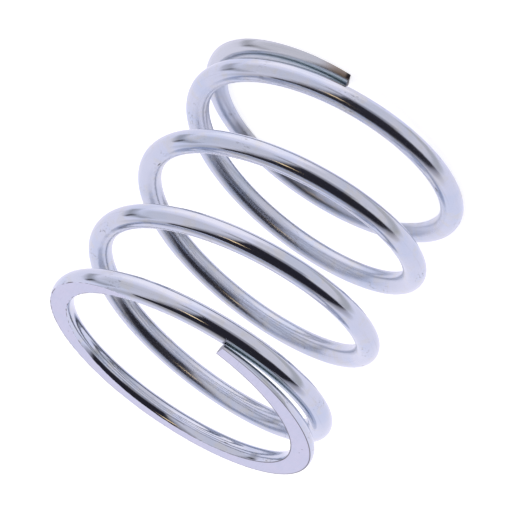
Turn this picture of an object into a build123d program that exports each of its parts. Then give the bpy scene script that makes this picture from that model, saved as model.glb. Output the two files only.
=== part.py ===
from build123d import *
import math
import os

# A right-hand compression spring coiled from one length of round wire. Its end
# coils are closed down onto their neighbours and ground flat, so it stands on
# either end. +Z runs from the lower ground face to the upper one, and the
# origin is in the lower face's plane, under the middle of the coil.
# Millimetres and degrees.

# ---- driving dimensions ----
wire_diameter = 2.0
mean_diameter = 23.6      # from wire centre to wire centre
free_length = 25.5        # between the two ground faces, unloaded
total_turns = 4.957       # with the closed and ground end coils
closed_turns = 0.57       # wound at the closed pitch, at each end
blend_turns = 0.85        # over which the closed pitch opens to the active one
tip_gap = 0.05            # between a wire tip and the turn that it closes onto
tip_thickness = 0.63      # what grinding leaves of the wire at its tips
out_of_square = 1.75      # how far the coil leans from square to its ground faces
lean_direction = 152.0    # the side it leans to, from +X
start_angle = 126.5       # the lower tip, from the side it leans to
arcs_per_turn = 12        # tangent arcs that carry one turn of the wire

# ---- sizes that follow ----
wire_radius = wire_diameter / 2
mean_radius = mean_diameter / 2
closing_rise = wire_diameter + tip_gap  # what the first turn from a tip climbs
ground_depth = wire_radius - tip_thickness  # how far a tip's centre lies beyond its ground face
lean = math.radians(out_of_square)


def tip_lift(angle):
    """How far leaning lifts a wire tip, at so many degrees from the side that the coil leans to."""
    return -mean_radius * math.cos(math.radians(angle)) * math.sin(lean)


# Leaning lifts the two tips unequally. The length that is wound, and where the
# middle of the coil is held, make up for it, so that both are ground alike.
lower_lift = tip_lift(start_angle)
upper_lift = tip_lift(start_angle + 360 * total_turns)
wound_length = (free_length + 2 * ground_depth + lower_lift - upper_lift) / math.cos(lean)
middle_height = (free_length - lower_lift - upper_lift) / 2


def open_turns(turns):
    """How many of the turns from a tip count as open, as the pitch opens along t * t * (3 - 2 * t)."""
    t = min(max((turns - closed_turns) / blend_turns, 0), 1)
    return blend_turns * (t**3 - t**4 / 2) + max(turns - closed_turns - blend_turns, 0)


# The free length sets the active pitch. The closed pitch then lets one turn
# from a tip climb just enough to lie on the turn beside it.
first_turn_open = open_turns(1)
end_turns = 2 * (total_turns - open_turns(total_turns)) / (1 - first_turn_open)
active_pitch = (wound_length - end_turns * closing_rise) / (total_turns - end_turns)
closed_pitch = (closing_rise - active_pitch * first_turn_open) / (1 - first_turn_open)


def closing(turns):
    """The height that closing an end takes from so many turns of active pitch."""
    return (active_pitch - closed_pitch) * (turns - open_turns(turns))


def wire_point(turns):
    """The wire's centre, so many turns from its lower tip, about the middle of the coil."""
    angle = math.radians(start_angle + 360 * turns)
    upper_closing = closing(total_turns) - closing(total_turns - turns)
    height = active_pitch * turns - closing(turns) - upper_closing
    return Vector(mean_radius * math.cos(angle), mean_radius * math.sin(angle), height - wound_length / 2)


# ---- the plane across the middle of the coil, square to its leaning axis ----
lean_side = Vector(1, 0, 0).rotate(Axis.Z, lean_direction)
lean_hinge = Axis((0, 0, 0), Vector(0, 0, 1).cross(lean_side))
coil_axis = Vector(0, 0, 1).rotate(lean_hinge, out_of_square)
coil_plane = Plane(origin=(0, 0, middle_height), x_dir=lean_side, z_dir=coil_axis)

# ---- the spring: wire coiled along tangent arcs, cut square, then ground at both ends ----
arc_count = round(arcs_per_turn * total_turns)
wire_points = [wire_point(total_turns * i / arc_count) for i in range(arc_count + 1)]
arc_ends = [coil_plane.from_local_coords(point) for point in wire_points]
start_heading = Vector(0, mean_diameter * math.pi, closed_pitch).rotate(Axis.Z, start_angle)
heading = coil_plane.from_local_coords(start_heading) - coil_plane.origin

with BuildPart() as compression_spring:
    with BuildLine() as wire_path:
        for arc_start, arc_end in zip(arc_ends, arc_ends[1:]):
            arc = TangentArc(arc_start, arc_end, tangent=heading)
            heading = arc % 1
    with BuildSketch(Plane(origin=wire_path.line @ 0, z_dir=wire_path.line % 0)):
        Circle(wire_radius)
    sweep()
    split(bisect_by=Plane.XY, keep=Keep.TOP)
    split(bisect_by=Plane.XY.offset(free_length), keep=Keep.BOTTOM)

compression_spring.part.label = "compression_spring"

os.makedirs("parts", exist_ok=True)
export_step(compression_spring.part, "parts/compression_spring.step")

wire_length = sum(edge.length for edge in wire_path.edges())
print(f"active pitch {active_pitch:.3f}, closed pitch {closed_pitch:.3f}, wire {wire_length:.1f} long")
wire_volume = wire_length * math.pi * wire_radius**2
print(f"wire volume {wire_volume:.1f}, ground to {compression_spring.part.volume:.1f}")
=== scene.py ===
import math

import bpy
import numpy as np
from mathutils import Matrix, Vector


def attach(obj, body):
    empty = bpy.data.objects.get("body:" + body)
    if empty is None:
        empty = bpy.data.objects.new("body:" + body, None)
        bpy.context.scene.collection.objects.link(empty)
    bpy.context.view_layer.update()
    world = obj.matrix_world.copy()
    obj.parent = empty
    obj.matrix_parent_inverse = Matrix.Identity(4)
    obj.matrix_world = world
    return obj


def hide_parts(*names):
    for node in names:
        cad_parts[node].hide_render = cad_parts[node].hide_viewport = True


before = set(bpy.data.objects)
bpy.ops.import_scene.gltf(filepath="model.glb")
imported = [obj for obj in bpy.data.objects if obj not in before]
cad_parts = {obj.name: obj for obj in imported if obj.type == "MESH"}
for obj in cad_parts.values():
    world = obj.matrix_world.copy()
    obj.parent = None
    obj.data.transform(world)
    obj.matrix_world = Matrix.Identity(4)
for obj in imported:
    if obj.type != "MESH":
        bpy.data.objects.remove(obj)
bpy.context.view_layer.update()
scene = bpy.context.scene
print("frame loaded, nodes:", sorted(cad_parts))


# Metres, degrees and turns. These are the same sizes that the solid is built from.
springWire = {
    "wireDiameter": 0.0020,
    "meanDiameter": 0.0236,    # wire centre to wire centre
    "freeLength": 0.0255,      # ground face to ground face
    "totalTurns": 4.957,
    "closedTurns": 0.57,       # wound at the closed pitch, at each end
    "blendTurns": 0.85,        # over which the pitch opens
    "tipGap": 0.00005,         # between a tip and the turn it closes onto
    "tipThickness": 0.00063,   # what grinding leaves of the wire at a tip
    "outOfSquare": 1.75,       # lean of the coil from square to its faces
    "leanDirection": 152.0,    # the side it leans to, from +X
    "startAngle": 126.5,       # the lower tip, from the side it leans to
    "stationsPerTurn": 240,    # mesh rings along one turn
    "roundColumns": 24,        # mesh columns on each round side
    "flatColumns": 6,          # mesh columns on each ground side
    "leastFlatAngle": 3.0,     # half angle of a ground side where nothing is ground off
    "sharpAngle": 11.0,        # an edge past this stays crisp
    "headingStep": 0.0001,     # turns either side that a station's heading is taken from
    # rings that close a tip: share of the section's size, and how proud they stand
    "tipRings": ((0.94, 0.000012), (0.5, 0.000016), (0.0, 0.000018)),
}


# Turns that count as open: none along the closed part, then the integral of
# the ease 3tt - 2ttt over the blend, then every turn after it.
def openTurns(turns, wire):
    t = np.clip((turns - wire["closedTurns"]) / wire["blendTurns"], 0, 1)
    past = np.clip(turns - wire["closedTurns"] - wire["blendTurns"], 0, None)
    return wire["blendTurns"] * (t**3 - t**4 / 2) + past


# Lift of a tip by the lean: less the mean radius, times the cosine of the tip's
# angle from the side leant to, times the sine of the lean.
def tipLift(turns, wire):
    angle = math.radians(wire["startAngle"]) + 2 * math.pi * turns
    return -wire["meanDiameter"] / 2 * math.cos(angle) * math.sin(math.radians(wire["outOfSquare"]))


# Centre line: mean radius times the cosine and sine of the winding angle, and
# a height of active pitch times turns, less what closing takes at each end.
# The lot leans about the middle of the coil, held so that both tips are ground
# alike.
def wireCentre(turns, wire):
    total = wire["totalTurns"]
    groundDepth = wire["wireDiameter"] / 2 - wire["tipThickness"]
    lowerLift, upperLift = tipLift(0, wire), tipLift(total, wire)
    woundLength = wire["freeLength"] + 2 * groundDepth + lowerLift - upperLift
    woundLength /= math.cos(math.radians(wire["outOfSquare"]))
    middleHeight = (wire["freeLength"] - lowerLift - upperLift) / 2
    closingRise = wire["wireDiameter"] + wire["tipGap"]
    firstOpen = openTurns(1.0, wire)
    endTurns = 2 * (total - openTurns(total, wire)) / (1 - firstOpen)
    activePitch = (woundLength - endTurns * closingRise) / (total - endTurns)
    closedPitch = (closingRise - activePitch * firstOpen) / (1 - firstOpen)

    def closing(n):
        return (activePitch - closedPitch) * (n - openTurns(n, wire))

    angle = math.radians(wire["startAngle"]) + 2 * math.pi * turns
    height = activePitch * turns - closing(turns) - (closing(total) - closing(total - turns))
    radius = wire["meanDiameter"] / 2
    flat = np.stack([radius * np.cos(angle), radius * np.sin(angle), height - woundLength / 2], -1)

    lean = Matrix.Rotation(math.radians(wire["leanDirection"]), 3, "Z")
    lean = lean @ Matrix.Rotation(math.radians(wire["outOfSquare"]), 3, "Y")
    return flat @ np.array(lean).T + np.array([0, 0, middleHeight])


# Section of the wire at every station, as x outward and y upward from its
# centre: a circle, cut by a chord where a ground face passes nearer than the
# radius. The chord's half angle is the arc cosine of that distance over the
# radius, so the columns of the mesh follow the edge of the ground face.
def wireSection(toLower, toUpper, wire):
    radius = wire["wireDiameter"] / 2
    least = math.radians(wire["leastFlatAngle"])
    lower = np.maximum(np.arccos(np.clip(toLower / radius, -1, 1)), least)[:, None]
    upper = np.maximum(np.arccos(np.clip(toUpper / radius, -1, 1)), least)[:, None]
    roundStep = np.arange(wire["roundColumns"]) / wire["roundColumns"]
    flatStep = 1 - 2 * np.arange(wire["flatColumns"]) / wire["flatColumns"]
    quarter = math.pi / 2
    outer = -quarter + lower + roundStep * (2 * quarter - lower - upper)
    inner = quarter + upper + roundStep * (2 * quarter - lower - upper)
    x = np.hstack([
        radius * np.cos(outer),
        radius * np.sin(upper) * flatStep,
        radius * np.cos(inner),
        -radius * np.sin(lower) * flatStep,
    ])
    y = np.hstack([
        radius * np.sin(outer),
        np.minimum(radius * np.cos(upper), toUpper[:, None]) + 0 * flatStep,
        radius * np.sin(inner),
        -np.minimum(radius * np.cos(lower), toLower[:, None]) + 0 * flatStep,
    ])
    return x, y


# Values at the mesh's points. Where there are too few, the tips get zeros.
def setAtPoints(mesh, name, kind, values):
    width = 3 if kind == "FLOAT_VECTOR" else 1
    filled = np.zeros(len(mesh.vertices) * width, np.float32)
    filled[:values.size] = values.ravel()
    attribute = mesh.attributes.new(name, kind, "POINT")
    attribute.data.foreach_set("vector" if width == 3 else "value", filled)


# How nearly a turn touches one that lies so far along the coil: two less the
# distance in wire diameters, held from nothing to one.
def nearness(distance, wire):
    return np.clip(2 - distance / wire["wireDiameter"], 0, 1)


# The whole wire: stations along the centre line times columns round the
# section, with each tip closed by two inset rings and a middle point.
def makeWire(wire):
    stations = round(wire["stationsPerTurn"] * wire["totalTurns"]) + 1
    turns = np.linspace(0, wire["totalTurns"], stations)
    centre = wireCentre(turns, wire)
    step = wire["headingStep"]
    tangent = wireCentre(turns + step, wire) - wireCentre(turns - step, wire)
    tangent /= np.linalg.norm(tangent, axis=1)[:, None]
    upward = np.array([0, 0, 1.0]) - tangent[:, 2:] * tangent
    upwardLength = np.linalg.norm(upward, axis=1)
    upward /= upwardLength[:, None]
    outward = np.cross(tangent, upward)

    toLower = centre[:, 2] / upwardLength
    toUpper = (wire["freeLength"] - centre[:, 2]) / upwardLength
    x, y = wireSection(toLower, toUpper, wire)
    columns = x.shape[1]
    points = centre[:, None] + x[..., None] * outward[:, None] + y[..., None] * upward[:, None]
    along = np.concatenate([[0], np.cumsum(np.linalg.norm(np.diff(centre, axis=0), axis=1))])
    asDrawn = np.stack([x, y, along[:, None] + 0 * x], -1) * 1000   # straight wire, in mm

    # tips: rings drawn in towards the middle of the section, a touch proud
    tipRings = []
    tipDrawn = []
    for end, way in ((0, -1), (-1, 1)):
        ring = points[end]
        middle = ring.mean(axis=0)
        drawnMiddle = asDrawn[end].mean(axis=0)
        for scale, proud in wire["tipRings"]:
            moved = middle + (ring - middle) * scale + way * proud * tangent[end]
            drawn = drawnMiddle + (asDrawn[end] - drawnMiddle) * scale
            tipRings.append(moved if scale else moved[:1])
            tipDrawn.append(drawn if scale else drawn[:1])

    body = points.reshape(-1, 3)
    allPoints = np.vstack([body, *tipRings])
    allDrawn = np.vstack([asDrawn.reshape(-1, 3), *tipDrawn])
    lowerTipRings = len(wire["tipRings"])
    tipTurns = [np.full(len(ring), 0.0 if i < lowerTipRings else wire["totalTurns"])
                for i, ring in enumerate(tipRings)]
    allTurns = np.concatenate([np.repeat(turns, columns), *tipTurns])

    # quads between stations, wound so that their normals leave the wire
    column = np.arange(columns)
    nextColumn = np.roll(column, -1)
    start = np.arange(stations - 1)[:, None] * columns
    quads = np.stack([start + column, start + nextColumn,
                      start + columns + nextColumn, start + columns + column], -1).reshape(-1, 4)

    def bridge(outerStart, innerStart, way):
        ring = [outerStart + column, innerStart + column, innerStart + nextColumn, outerStart + nextColumn]
        return np.stack(ring if way < 0 else ring[::-1], -1)

    def fan(ringStart, middle, way):
        ring = [ringStart + column, 0 * column + middle, ringStart + nextColumn]
        return np.stack(ring if way < 0 else ring[::-1], -1)

    lowerRings = len(body)
    upperRings = lowerRings + 2 * columns + 1
    lastStation = len(body) - columns
    tipQuads = [
        bridge(0, lowerRings, -1), bridge(lowerRings, lowerRings + columns, -1),
        bridge(lastStation, upperRings, 1), bridge(upperRings, upperRings + columns, 1),
    ]
    tipFans = [
        fan(lowerRings + columns, lowerRings + 2 * columns, -1),
        fan(upperRings + columns, upperRings + 2 * columns, 1),
    ]
    faces = [q.tolist() for q in (quads, *tipQuads, *tipFans)]
    faces = [face for group in faces for face in group]

    mesh = bpy.data.meshes.new("springWire")
    mesh.from_pydata(allPoints, [], faces)
    setAtPoints(mesh, "asDrawn", "FLOAT_VECTOR", allDrawn)
    setAtPoints(mesh, "turns", "FLOAT", allTurns)

    # the rim is one where a ground face meets the round of the wire
    groundWithin = wire["wireDiameter"] / 2 * math.cos(math.radians(wire["leastFlatAngle"]))
    onLower = toLower < groundWithin
    onUpper = toUpper < groundWithin
    roundColumns, flatColumns = wire["roundColumns"], wire["flatColumns"]
    rim = np.zeros((stations, columns))
    rim[:, [0, 2 * roundColumns + flatColumns]] = onLower[:, None]
    rim[:, [roundColumns, roundColumns + flatColumns]] = onUpper[:, None]
    setAtPoints(mesh, "rim", "FLOAT", rim)

    # the recess is one where the wire faces a turn that it nearly touches
    turnBelow = centre[:, 2] - wireCentre(np.maximum(turns - 1, 0), wire)[:, 2]
    turnAbove = wireCentre(np.minimum(turns + 1, wire["totalTurns"]), wire)[:, 2] - centre[:, 2]
    nearBelow = np.where(turns > 1, nearness(turnBelow, wire), 0)
    nearAbove = np.where(turns < wire["totalTurns"] - 1, nearness(turnAbove, wire), 0)
    height = y / (wire["wireDiameter"] / 2)
    recess = np.clip(height, 0, 1) * nearAbove[:, None] + np.clip(-height, 0, 1) * nearBelow[:, None]
    setAtPoints(mesh, "recess", "FLOAT", recess)

    # which finish a face has: 0 plated wire, 1 ground face, 2 cut tip
    upperSide = (column >= roundColumns) & (column < roundColumns + flatColumns)
    lowerSide = column >= 2 * roundColumns + flatColumns
    cutLower = (onLower[:-1] & onLower[1:])[:, None] & lowerSide
    cutUpper = (onUpper[:-1] & onUpper[1:])[:, None] & upperSide
    finish = np.concatenate([(cutLower | cutUpper).astype(int).ravel(),
                             np.full(len(faces) - len(quads), 2)])
    mesh.polygons.foreach_set("material_index", finish.astype(np.int32))
    mesh.polygons.foreach_set("use_smooth", np.ones(len(faces), bool))
    mesh.set_sharp_from_angle(angle=math.radians(wire["sharpAngle"]))
    mesh.update()
    piece = bpy.data.objects.new("spring_wire", mesh)
    scene.collection.objects.link(piece)
    return piece


wirePiece = makeWire(springWire)
print("wire made:", len(wirePiece.data.polygons), "faces")


def addNode(tree, kind, values=None, **settings):
    node = tree.nodes.new(kind)
    for name, value in settings.items():
        setattr(node, name, value)
    for name, value in (values or {}).items():
        node.inputs[name].default_value = value
    return node


def wireUp(tree, *pairs):
    for source, target in pairs:
        tree.links.new(source, target)


def maths(tree, operation, first, second=None, third=None, clamp=False):
    node = addNode(tree, "ShaderNodeMath", operation=operation, use_clamp=clamp)
    for socket, value in zip(node.inputs, (first, second, third)):
        if value is None:
            continue
        if isinstance(value, (int, float)):
            socket.default_value = value
        else:
            tree.links.new(value, socket)
    return node.outputs[0]


# A metal material, with its tree and its shader.
def newMetal(name):
    material = bpy.data.materials.new(name)
    material.use_nodes = True
    shader = material.node_tree.nodes["Principled BSDF"]
    shader.inputs["Metallic"].default_value = 1.0
    return material, material.node_tree, shader


# The object's own place in millimetres, turned by so much about each axis.
def placeInMillimetres(tree, rotation=(0, 0, 0)):
    place = addNode(tree, "ShaderNodeTexCoord")
    turned = addNode(tree, "ShaderNodeMapping", {"Rotation": rotation, "Scale": (1000, 1000, 1000)})
    tree.links.new(place.outputs["Object"], turned.inputs["Vector"])
    return turned.outputs["Vector"]


# A value that the mesh holds at its points.
def pointValue(tree, name):
    return addNode(tree, "ShaderNodeAttribute", attribute_name=name).outputs["Fac"]


# The height of a bump, in metres, put on a shader.
def putBump(tree, height, shader):
    bump = addNode(tree, "ShaderNodeBump", {"Distance": 1.0, "Strength": 1.0})
    wireUp(tree, (height, bump.inputs["Height"]), (bump.outputs["Normal"], shader.inputs["Normal"]))


def newGroup(name, inputs, outputs):
    tree = bpy.data.node_groups.new(name, "ShaderNodeTree")
    for label, kind, value in inputs:
        socket = tree.interface.new_socket(name=label, in_out="INPUT", socket_type=kind)
        if value is not None:
            socket.default_value = value
    for label, kind in outputs:
        tree.interface.new_socket(name=label, in_out="OUTPUT", socket_type=kind)
    return tree, addNode(tree, "NodeGroupInput"), addNode(tree, "NodeGroupOutput")


def useGroup(tree, group, values=None):
    node = addNode(tree, "ShaderNodeGroup")
    node.node_tree = group
    for name, value in (values or {}).items():
        node.inputs[name].default_value = value
    return node


# One colour laid over another by a mask. Either may be a plain colour or a socket.
def layColour(tree, mask, under, over):
    node = addNode(tree, "ShaderNodeMix", data_type="RGBA")
    for socket, colour in ((node.inputs[6], under), (node.inputs[7], over)):
        if isinstance(colour, tuple):
            socket.default_value = colour
        else:
            tree.links.new(colour, socket)
    tree.links.new(mask, node.inputs[0])
    return node.outputs[2]


# A share of a colour laid over another, by a mask times the share.
def layShare(tree, mask, share, under, over):
    return layColour(tree, maths(tree, "MULTIPLY", mask, share), under, over)


# A value taken to nothing at the first end and to one at the second, easing in and out.
def easeFrom(tree, value, nothingAt, oneAt):
    node = addNode(tree, "ShaderNodeMapRange", {"From Min": nothingAt, "From Max": oneAt},
                   interpolation_type="SMOOTHSTEP")
    tree.links.new(value, node.inputs["Value"])
    return node.outputs[0]


# The group's place, times Across on its first two axes and Along on its third.
def stretchPlace(tree, gin):
    scale = addNode(tree, "ShaderNodeCombineXYZ")
    stretched = addNode(tree, "ShaderNodeVectorMath", operation="MULTIPLY")
    wireUp(tree,
           (gin.outputs["Across"], scale.inputs[0]), (gin.outputs["Across"], scale.inputs[1]),
           (gin.outputs["Along"], scale.inputs[2]),
           (gin.outputs["Place"], stretched.inputs[0]), (scale.outputs[0], stretched.inputs[1]))
    return stretched.outputs[0]


sharedEffects = {
    "lineSteepness": 9.0,       # how fast a line darkens past its threshold
    "markSteepness": 2.5,       # how crisp a mark's edge is
    "speckStart": 0.56,
    "speckSteepness": 8.0,
    "patchScale": 0.45,         # grime's patches, against the place that it is given
    "patchSteepness": 14.0,
}


# Long lines: noise stretched along the third axis of the place it is given.
# Height is the noise itself, and Dark is the part of it past the threshold.
def makeLongLines(effects):
    tree, gin, gout = newGroup("longLines", [
        ("Place", "NodeSocketVector", None),
        ("Across", "NodeSocketFloat", 7.0),
        ("Along", "NodeSocketFloat", 0.12),
        ("Threshold", "NodeSocketFloat", 0.62),
    ], [("Height", "NodeSocketFloat"), ("Dark", "NodeSocketFloat")])
    noise = addNode(tree, "ShaderNodeTexNoise", {"Scale": 1.0, "Detail": 5.0, "Roughness": 0.62})
    past = maths(tree, "SUBTRACT", noise.outputs["Fac"], gin.outputs["Threshold"])
    wireUp(tree,
           (stretchPlace(tree, gin), noise.inputs["Vector"]),
           (noise.outputs["Fac"], gout.inputs["Height"]),
           (maths(tree, "MULTIPLY", past, effects["lineSteepness"], clamp=True), gout.inputs["Dark"]))
    return tree


# Marks: the place is split into stretched cells, and a share of the cells hold
# a mark each. A mark is one near its cell's centre and nothing past its size.
def makeMarks(effects):
    tree, gin, gout = newGroup("marks", [
        ("Place", "NodeSocketVector", None),
        ("Across", "NodeSocketFloat", 1.5),
        ("Along", "NodeSocketFloat", 1.5),
        ("Size", "NodeSocketFloat", 0.15),
        ("Share", "NodeSocketFloat", 0.2),
    ], [("Mask", "NodeSocketFloat")])
    cells = addNode(tree, "ShaderNodeTexVoronoi", {"Scale": 1.0}, feature="F1", distance="EUCLIDEAN")
    draw = addNode(tree, "ShaderNodeSeparateColor")
    wireUp(tree, (stretchPlace(tree, gin), cells.inputs["Vector"]), (cells.outputs["Color"], draw.inputs[0]))
    picked = maths(tree, "LESS_THAN", draw.outputs[0], gin.outputs["Share"])
    near = maths(tree, "DIVIDE", maths(tree, "SUBTRACT", gin.outputs["Size"], cells.outputs["Distance"]),
                 gin.outputs["Size"], clamp=True)
    near = maths(tree, "MULTIPLY", near, effects["markSteepness"], clamp=True)
    wireUp(tree, (maths(tree, "MULTIPLY", near, picked), gout.inputs["Mask"]))
    return tree


# Grime: fine specks, only where a slow noise lets them be.
def makeGrime(effects):
    tree, gin, gout = newGroup("grime", [
        ("Place", "NodeSocketVector", None),
        ("Across", "NodeSocketFloat", 5.0),
        ("Along", "NodeSocketFloat", 2.5),
        ("Start", "NodeSocketFloat", 0.58),
    ], [("Mask", "NodeSocketFloat")])
    specks = addNode(tree, "ShaderNodeTexNoise", {"Scale": 1.0, "Detail": 2.0, "Roughness": 0.7})
    patches = addNode(tree, "ShaderNodeTexNoise", {"Scale": effects["patchScale"], "Detail": 1.0})
    wireUp(tree, (stretchPlace(tree, gin), specks.inputs["Vector"]),
           (gin.outputs["Place"], patches.inputs["Vector"]))
    speck = maths(tree, "MULTIPLY", maths(tree, "SUBTRACT", specks.outputs["Fac"], effects["speckStart"]),
                  effects["speckSteepness"], clamp=True)
    patch = maths(tree, "MULTIPLY", maths(tree, "SUBTRACT", patches.outputs["Fac"], gin.outputs["Start"]),
                  effects["patchSteepness"], clamp=True)
    wireUp(tree, (maths(tree, "MULTIPLY", speck, patch), gout.inputs["Mask"]))
    return tree


longLines = makeLongLines(sharedEffects)
marks = makeMarks(sharedEffects)
grime = makeGrime(sharedEffects)
print("shared effects made")


# Pairs are where a mask is nothing and where it is one: in turns, as a share
# of the wire's radius outward or up, or as a level of noise.
platedWire = {
    "paleTint": (0.585, 0.620, 0.690, 1),
    "blueTint": (0.530, 0.590, 0.690, 1),
    "greyTint": (0.580, 0.600, 0.610, 1),
    "recessShadeTint": (0.530, 0.600, 0.630, 1),    # painted shade, darker and greener, where turns nearly touch
    "lineTint": (0.36, 0.37, 0.43, 1),
    "grimeTint": (0.20, 0.19, 0.19, 1),
    "markTint": (0.05, 0.045, 0.05, 1),
    "rimTint": (0.12, 0.12, 0.14, 1),
    "wornTint": (0.33, 0.26, 0.20, 1),     # bare and browned steel at the tips
    "roughness": 0.09,
    "innerDulling": 0.12,      # added to the roughness inside the coil, but for its last turn
    "lowEndDulling": 0.09,     # added towards the lower end
    "recessDulling": 0.10,
    "lineDulling": 0.08,
    "markDulling": 0.20,
    "lineDepth": 0.0000005,
    "rippleDepth": 0.0000003,
    "waveDepth": 0.00003,
    "markDepth": 0.000006,
    "blueNoise": (0.38, 0.72),
    "greyNoise": (0.50, 0.66),
    "greyTurns": (0.30, 0.12),
    "greyShare": 0.8,
    "recessEdge": (0.60, 0.92),
    "lineShare": 0.28,
    "streakShare": 0.35,
    "grimeShare": 0.6,
    "upperWearReach": 0.012,        # turns back from the upper tip
    "upperWearShare": 0.3,
    "lowerWearTurns": (0.040, 0.008),
    "lowerWearUp": (0.84, 0.68),
    "lowerBlackTurns": (0.006, 0.002),
    "lowerBlackUp": (0.80, 0.65),
    "rimEdge": (0.4, 0.9),
    "rimNoise": (0.54, 0.62),
    "rimTurns": (4.5, 4.65),        # from here to the upper tip, the rim's line is whole
    "insideOut": (0.3, -0.6),
    "insideTurns": (4.4, 3.8),
    "lowEndTurns": (3.5, 0.0),
}


# Zinc plate over drawn wire. Its tint drifts between pale, blue and grey, takes a
# painted shade, darker and greener, where a turn nearly touches the next, then
# takes the draw lines, grime, dashes and pits, the rim of the ground faces, and
# wear near the tips. It is dullest inside the coil, where the winding arbor
# rubbed, and between closed turns, where plate is thin.
# The bump adds slow waves, fine ripples, draw lines and marks. All of it is
# placed on the wire as it was straight, in millimetres.
def makePlatedWire(look):
    material, tree, shader = newMetal("bright_zinc_plate")
    place = addNode(tree, "ShaderNodeAttribute", attribute_name="asDrawn")
    turns, rim, recess = (pointValue(tree, name) for name in ("turns", "rim", "recess"))
    sides = addNode(tree, "ShaderNodeSeparateXYZ")
    slow = addNode(tree, "ShaderNodeTexNoise", {"Scale": 0.35, "Detail": 2.0})
    wave = addNode(tree, "ShaderNodeTexNoise", {"Scale": 0.5, "Detail": 1.0, "Roughness": 0.4})
    ripple = addNode(tree, "ShaderNodeTexNoise", {"Scale": 5.0, "Detail": 2.0})
    cloud = addNode(tree, "ShaderNodeTexNoise", {"Scale": 0.8, "Detail": 3.0, "Roughness": 0.6})
    drawn = useGroup(tree, longLines, {"Across": 7.0, "Along": 0.10, "Threshold": 0.60})
    streaks = useGroup(tree, longLines, {"Across": 3.0, "Along": 0.05, "Threshold": 0.64})
    dashes = useGroup(tree, marks, {"Across": 1.9, "Along": 0.28, "Size": 0.13, "Share": 0.055})
    pits = useGroup(tree, marks, {"Across": 1.6, "Along": 1.6, "Size": 0.10, "Share": 0.035})
    dirty = useGroup(tree, grime, {"Across": 6.0, "Along": 2.2, "Start": 0.60})
    for node in (slow, wave, ripple, cloud, sides):
        wireUp(tree, (place.outputs["Vector"], node.inputs[0]))
    for node in (drawn, streaks, dashes, pits, dirty):
        wireUp(tree, (place.outputs["Vector"], node.inputs["Place"]))

    def near(value, ends):
        return easeFrom(tree, value, *look[ends])

    outward, up = sides.outputs["X"], sides.outputs["Y"]
    marked = maths(tree, "MAXIMUM", dashes.outputs["Mask"], pits.outputs["Mask"])
    total = springWire["totalTurns"]
    upperWear = easeFrom(tree, turns, total - look["upperWearReach"], total)
    lowerWear = maths(tree, "MULTIPLY", near(turns, "lowerWearTurns"), near(up, "lowerWearUp"))
    # near black over the last few thousandths of a turn at the lower tip, below the top of the section
    lowerBlack = maths(tree, "MULTIPLY", near(turns, "lowerBlackTurns"), near(up, "lowerBlackUp"))
    worn = maths(tree, "MULTIPLY", maths(tree, "MULTIPLY_ADD", upperWear, look["upperWearShare"], lowerWear),
                 maths(tree, "ADD", slow.outputs["Fac"], 0.5), clamp=True)
    rimmed = maths(tree, "MULTIPLY", near(rim, "rimEdge"),
                   maths(tree, "MAXIMUM", near(turns, "rimTurns"), near(cloud.outputs["Fac"], "rimNoise")))
    greyed = maths(tree, "MAXIMUM", near(cloud.outputs["Fac"], "greyNoise"), near(turns, "greyTurns"))
    recessed = near(recess, "recessEdge")

    colour = layColour(tree, near(slow.outputs["Fac"], "blueNoise"), look["paleTint"], look["blueTint"])
    colour = layShare(tree, greyed, look["greyShare"], colour, look["greyTint"])
    # painted shade, darker and greener, where a turn nearly touches the next
    colour = layColour(tree, recessed, colour, look["recessShadeTint"])
    colour = layShare(tree, drawn.outputs["Dark"], look["lineShare"], colour, look["lineTint"])
    colour = layShare(tree, streaks.outputs["Dark"], look["streakShare"], colour, look["lineTint"])
    colour = layShare(tree, dirty.outputs["Mask"], look["grimeShare"], colour, look["grimeTint"])
    colour = layColour(tree, worn, colour, look["wornTint"])
    colour = layColour(tree, rimmed, colour, look["rimTint"])
    colour = layColour(tree, maths(tree, "MAXIMUM", marked, lowerBlack), colour, look["markTint"])

    inside = maths(tree, "MULTIPLY", near(outward, "insideOut"), near(turns, "insideTurns"))
    lineMiddle = look["roughness"] - look["lineDulling"] / 2
    rough = maths(tree, "MULTIPLY_ADD", drawn.outputs["Height"], look["lineDulling"], lineMiddle)
    rough = maths(tree, "MULTIPLY_ADD", inside, look["innerDulling"], rough)
    rough = maths(tree, "MULTIPLY_ADD", near(turns, "lowEndTurns"), look["lowEndDulling"], rough)
    rough = maths(tree, "MULTIPLY_ADD", recessed, look["recessDulling"], rough)
    rough = maths(tree, "MULTIPLY_ADD", maths(tree, "MAXIMUM", marked, worn), look["markDulling"], rough)
    wireUp(tree, (colour, shader.inputs["Base Color"]), (rough, shader.inputs["Roughness"]))

    height = maths(tree, "MULTIPLY", wave.outputs["Fac"], look["waveDepth"])
    height = maths(tree, "MULTIPLY_ADD", ripple.outputs["Fac"], look["rippleDepth"], height)
    height = maths(tree, "MULTIPLY_ADD", drawn.outputs["Height"], look["lineDepth"], height)
    height = maths(tree, "MULTIPLY_ADD", marked, -look["markDepth"], height)
    putBump(tree, height, shader)
    return material


groundFace = {
    "tint": (0.565, 0.592, 0.700, 1),
    "pinkTint": (0.592, 0.600, 0.705, 1),
    "scratchTint": (0.42, 0.40, 0.52, 1),
    "pitTint": (0.10, 0.09, 0.09, 1),
    "rimTint": (0.10, 0.095, 0.11, 1),
    "roughness": 0.34,
    "scratchDulling": 0.20,
    "scratchDepth": 0.0000008,
    "scratchTurn": 0.6,          # radians that the grinding lines are turned by
    "scratchShare": 0.35,
    "grimeShare": 0.25,
    "pinkNoise": (0.35, 0.65),
    "rimEdge": (0.62, 0.86),
    "rimNoise": (0.54, 0.60),
    "rimTurns": (4.5, 4.7),      # from here to the upper tip, the rim's line is whole
    "fleckEdge": (0.66, 0.84),
    "fleckNoise": (0.49, 0.56),
}


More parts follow.
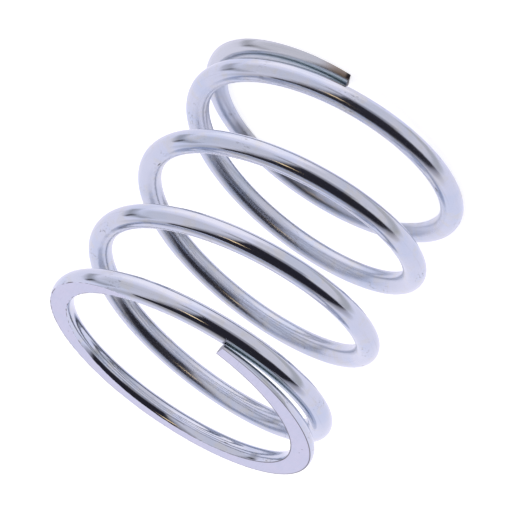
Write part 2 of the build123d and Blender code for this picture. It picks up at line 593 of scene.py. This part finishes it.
# Ground and plated face: satin, its tint drifting towards pink, with straight
# grinding lines across it, a few pits, and a broken dark line and flecks round
# its rim.
def makeGroundFace(look):
    material, tree, shader = newMetal("satin_ground_zinc")
    place = placeInMillimetres(tree, (math.pi / 2, 0, look["scratchTurn"]))
    rim, turns = pointValue(tree, "rim"), pointValue(tree, "turns")
    slow = addNode(tree, "ShaderNodeTexNoise", {"Scale": 0.7, "Detail": 3.0})
    flecks = addNode(tree, "ShaderNodeTexNoise", {"Scale": 2.6, "Detail": 2.0})
    scratch = useGroup(tree, longLines, {"Across": 9.0, "Along": 0.5, "Threshold": 0.62})
    pits = useGroup(tree, marks, {"Across": 1.3, "Along": 1.3, "Size": 0.10, "Share": 0.10})
    dirty = useGroup(tree, grime, {"Across": 6.0, "Along": 5.0, "Start": 0.60})
    for node in (slow, flecks):
        wireUp(tree, (place, node.inputs["Vector"]))
    for node in (scratch, pits, dirty):
        wireUp(tree, (place, node.inputs["Place"]))

    def near(value, ends):
        return easeFrom(tree, value, *look[ends])

    rimmed = maths(tree, "MULTIPLY", near(rim, "rimEdge"),
                   maths(tree, "MAXIMUM", near(turns, "rimTurns"), near(slow.outputs["Fac"], "rimNoise")))
    flecked = maths(tree, "MULTIPLY", near(rim, "fleckEdge"), near(flecks.outputs["Fac"], "fleckNoise"))
    colour = layColour(tree, near(slow.outputs["Fac"], "pinkNoise"), look["tint"], look["pinkTint"])
    colour = layShare(tree, scratch.outputs["Dark"], look["scratchShare"], colour, look["scratchTint"])
    colour = layShare(tree, dirty.outputs["Mask"], look["grimeShare"], colour, look["scratchTint"])
    colour = layColour(tree, maths(tree, "MAXIMUM", rimmed, flecked), colour, look["rimTint"])
    colour = layColour(tree, pits.outputs["Mask"], colour, look["pitTint"])
    rough = maths(tree, "MULTIPLY_ADD", scratch.outputs["Height"], look["scratchDulling"],
                  look["roughness"] - look["scratchDulling"] / 2)
    wireUp(tree, (colour, shader.inputs["Base Color"]), (rough, shader.inputs["Roughness"]))
    putBump(tree, maths(tree, "MULTIPLY", scratch.outputs["Height"], look["scratchDepth"]), shader)
    return material


cutTip = {
    "tint": (0.42, 0.42, 0.47, 1),
    "darkTint": (0.16, 0.15, 0.15, 1),
    "nearBlackTint": (0.030, 0.026, 0.024, 1),     # near black, at the lower tip
    "roughness": 0.45,
    "tearDulling": 0.30,
    "tearDepth": 0.00002,
    "nearBlackTurns": (1.0, 0.5),
}


# Sheared tip: dull plate, darker in streaks and rough by the same streaks, and
# near black at the lower tip.
def makeCutTip(look):
    material, tree, shader = newMetal("sheared_wire_tip")
    torn = useGroup(tree, longLines, {"Across": 5.0, "Along": 1.2, "Threshold": 0.5})
    colour = layColour(tree, torn.outputs["Dark"], look["tint"], look["darkTint"])
    atLowerTip = easeFrom(tree, pointValue(tree, "turns"), *look["nearBlackTurns"])
    colour = layColour(tree, atLowerTip, colour, look["nearBlackTint"])
    rough = maths(tree, "MULTIPLY_ADD", torn.outputs["Height"], look["tearDulling"],
                  look["roughness"] - look["tearDulling"] / 2)
    wireUp(tree, (placeInMillimetres(tree), torn.inputs["Place"]), (colour, shader.inputs["Base Color"]),
           (rough, shader.inputs["Roughness"]))
    putBump(tree, maths(tree, "MULTIPLY", torn.outputs["Height"], look["tearDepth"]), shader)
    return material


for finish in (makePlatedWire(platedWire), makeGroundFace(groundFace), makeCutTip(cutTip)):
    wirePiece.data.materials.append(finish)
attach(wirePiece, "root")
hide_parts("compression_spring")
print("finishes on")


cameraPlace = {
    "aim": (0.000225, 0.00003, 0.012680),
    "azimuth": -0.45,
    "elevation": 21.30,
    "roll": -145.13,
    "distance": 0.2388,
    "focalLength": 200.6,       # mm, as is the sensor's width
    "sensorWidth": 36.0,
    "nearClip": 0.01,
}


# The camera looks at its aim from azimuth, from -Y towards +X, and elevation,
# then rolls about its own axis.
def makeCamera(place):
    azimuth, elevation, roll = (math.radians(place[key]) for key in ("azimuth", "elevation", "roll"))
    back = Vector((math.sin(azimuth) * math.cos(elevation), -math.cos(azimuth) * math.cos(elevation),
                   math.sin(elevation)))
    level = Vector((math.cos(azimuth), math.sin(azimuth), 0))
    above = back.cross(level)
    right = math.cos(roll) * level + math.sin(roll) * above
    turned = Matrix((right, back.cross(right), back)).transposed()
    data = bpy.data.cameras.new("studioCamera")
    data.lens = place["focalLength"]
    data.sensor_width = place["sensorWidth"]
    data.clip_start = place["nearClip"]
    camera = bpy.data.objects.new("studioCamera", data)
    camera.matrix_world = Matrix.Translation(Vector(place["aim"]) + place["distance"] * back) @ turned.to_4x4()
    scene.collection.objects.link(camera)
    scene.camera = camera


makeCamera(cameraPlace)
print("camera placed")


studio = {
    "floorSize": 4.0,
    "floorTint": (0.80, 0.80, 0.81, 1),
    "floorRoughness": 0.9,
    "floorSeenBoost": 0.72,     # added for the camera, so the floor reads as white
    "surroundings": (1.03, 0.995, 1.15, 1),
    "surroundingsLevel": 1.0,
    "cardHeight": 0.0126,       # the middle of the spring, which the cards are turned to
}

# Cards that the wire mirrors. Azimuth is from -Y towards +X, and corners are
# metres across and up on the card's own plane, round its middle.
studioCards = {
    "frontWall": {
        "azimuth": -35, "elevation": -20, "distance": 1.5, "feather": 0.35, "cover": 1.0,
        "tint": (0.88, 0.84, 0.91, 1),
        "corners": ((-1.40, -2.6), (1.20, -2.6), (1.40, 1.25), (-1.40, 1.25)),
    },
    "rightWall": {
        "azimuth": 55, "elevation": 22, "distance": 1.4, "feather": 0.45, "cover": 1.0,
        "tint": (0.835, 0.81, 0.905, 1),
        "corners": ((-1.20, -0.75), (1.20, -0.75), (1.20, 0.85), (-1.20, 0.85)),
    },
    "lowGlow": {
        "azimuth": 62, "elevation": -48, "distance": 1.3, "feather": 0.55, "cover": 1.0,
        "tint": (1.34, 1.26, 1.34, 1),
        "corners": ((-0.75, -0.65), (0.75, -0.65), (0.75, 0.50), (-0.75, 0.50)),
    },
    "dimCeiling": {
        "azimuth": 180, "elevation": 88, "distance": 2.4, "feather": 1.5, "cover": 1.0,
        "tint": (0.55, 0.52, 0.545, 1),
        "corners": ((-1.5, -1.5), (1.5, -1.5), (1.5, 1.3), (-1.5, 1.3)),
    },
    "leftSeam": {
        "azimuth": -80, "elevation": -25, "distance": 0.7, "feather": 0.10, "cover": 1.0,
        "tint": (0.61, 0.60, 0.635, 1),
        "corners": ((-0.06, -0.75), (0.16, -0.75), (0.10, 0.45), (-0.06, 0.45)),
    },
    "rightSeam": {
        "azimuth": 107, "elevation": 12, "distance": 0.7, "feather": 0.12, "cover": 1.0,
        "tint": (0.48, 0.47, 0.52, 1),
        "corners": ((-0.065, -0.35), (0.065, -0.35), (0.045, 0.45), (-0.085, 0.45)),
    },
    "darkSpot": {
        "azimuth": 109, "elevation": 21, "distance": 0.65, "feather": 0.06, "cover": 1.0,
        "tint": (0.02, 0.02, 0.025, 1),
        "corners": ((-0.045, -0.040), (0.045, -0.040), (0.045, 0.045), (-0.045, 0.045)),
    },
    "greySill": {
        "azimuth": -38, "elevation": 42, "distance": 0.53, "feather": 0.08, "cover": 0.8,
        "tint": (0.345, 0.33, 0.377, 1),
        "corners": ((0.0, -0.52), (0.58, -0.53), (1.27, -0.40), (1.27, -0.21), (0.58, -0.24), (0.0, -0.265)),
    },
    "openingSide": {
        "azimuth": -38, "elevation": 42, "distance": 0.52, "feather": 0.34, "cover": 0.68,
        "tint": (0.100, 0.092, 0.102, 1),
        "corners": ((-0.66, -0.22), (0.56, -0.22), (0.58, 0.72), (0.12, 0.72), (-0.60, 0.34)),
    },
    "darkOpening": {
        "azimuth": -38, "elevation": 42, "distance": 0.5, "feather": 0.08, "cover": 1.0,
        "tint": (0.026, 0.024, 0.034, 1),
        "corners": ((-0.57, -0.27), (0.57, -0.27), (0.40, 0.11), (0.33, 0.35), (0.37, 0.55), (0.50, 1.60),
                    (0.17, 1.60), (-0.02, 0.46), (-0.28, 0.26), (-0.38, 0.18), (-0.44, -0.05)),
    },
    "warmStrip": {
        "azimuth": -38, "elevation": 42, "distance": 0.49, "feather": 0.02, "cover": 1.0,
        "tint": (1.94, 1.42, 0.83, 1),
        "corners": ((0.206, 0.147), (0.314, 0.176), (0.431, 0.294), (0.284, 0.235)),
    },
}


# A flat card turned to face the spring, with a feathered rim: cover is one
# over its middle and falls to nothing at its corners.
def makeCard(name, card):
    azimuth, elevation = math.radians(card["azimuth"]), math.radians(card["elevation"])
    away = np.array([math.sin(azimuth) * math.cos(elevation), -math.cos(azimuth) * math.cos(elevation),
                     math.sin(elevation)])
    across = np.array([math.cos(azimuth), math.sin(azimuth), 0])
    corners = np.array(card["corners"])
    onward = np.roll(corners, -1, axis=0) - corners
    onward /= np.linalg.norm(onward, axis=1)[:, None]
    backward = np.roll(onward, 1, axis=0)
    inward = np.stack([-onward[:, 1] - backward[:, 1], onward[:, 0] + backward[:, 0]], -1)
    inward /= (1 + (onward * backward).sum(axis=1))[:, None]
    rims = np.vstack([corners - inward * card["feather"] / 2, corners + inward * card["feather"] / 2])
    middle = np.array([0, 0, studio["cardHeight"]]) + card["distance"] * away
    points = middle + rims[:, :1] * across + rims[:, 1:] * np.cross(away, across)
    count = len(corners)
    faces = [(i, (i + 1) % count, count + (i + 1) % count, count + i) for i in range(count)]
    mesh = bpy.data.meshes.new(name)
    mesh.from_pydata(points, [], faces + [tuple(range(count, 2 * count))])
    cover = mesh.attributes.new("cover", "FLOAT", "POINT")
    cover.data.foreach_set("value", np.repeat([0.0, card["cover"]], count).astype(np.float32))
    plane = bpy.data.objects.new(name, mesh)
    scene.collection.objects.link(plane)
    plane.visible_camera = False
    plane.visible_shadow = False

    material = bpy.data.materials.new(name + "Paint")
    material.use_nodes = True
    tree = material.node_tree
    tree.nodes.remove(tree.nodes["Principled BSDF"])
    glow = addNode(tree, "ShaderNodeEmission", {"Color": card["tint"]})
    clear = addNode(tree, "ShaderNodeBsdfTransparent")
    rim = addNode(tree, "ShaderNodeAttribute", attribute_name="cover")
    mixed = addNode(tree, "ShaderNodeMixShader")
    wireUp(tree, (rim.outputs["Fac"], mixed.inputs[0]), (clear.outputs[0], mixed.inputs[1]),
           (glow.outputs[0], mixed.inputs[2]),
           (mixed.outputs[0], tree.nodes["Material Output"].inputs["Surface"]))
    plane.data.materials.append(material)


# A plain pale floor under the spring, which the wire does not mirror.
def makeFloor(place):
    half = place["floorSize"] / 2
    mesh = bpy.data.meshes.new("paleFloor")
    corners = [(-half, -half, 0), (half, -half, 0), (half, half, 0), (-half, half, 0)]
    mesh.from_pydata(corners, [], [(0, 1, 2, 3)])
    floor = bpy.data.objects.new("paleFloor", mesh)
    floor.visible_glossy = False
    scene.collection.objects.link(floor)
    material = bpy.data.materials.new("paleFloorPaint")
    material.use_nodes = True
    tree = material.node_tree
    shader = tree.nodes["Principled BSDF"]
    shader.inputs["Base Color"].default_value = place["floorTint"]
    shader.inputs["Roughness"].default_value = place["floorRoughness"]
    shader.inputs["Specular IOR Level"].default_value = 0.0
    shader.inputs["Emission Color"].default_value = (1, 1, 1, 1)
    path = addNode(tree, "ShaderNodeLightPath")
    wireUp(tree, (maths(tree, "MULTIPLY", path.outputs["Is Camera Ray"], place["floorSeenBoost"]),
                  shader.inputs["Emission Strength"]))
    mesh.materials.append(material)


def makeSurroundings(place):
    world = bpy.data.worlds.new("studioWorld")
    world.use_nodes = True
    background = world.node_tree.nodes["Background"]
    background.inputs["Color"].default_value = place["surroundings"]
    background.inputs["Strength"].default_value = place["surroundingsLevel"]
    scene.world = world


makeFloor(studio)
makeSurroundings(studio)
for cardName, cardPlace in studioCards.items():
    makeCard(cardName, cardPlace)
scene.view_settings.view_transform = "Standard"
print("studio set")
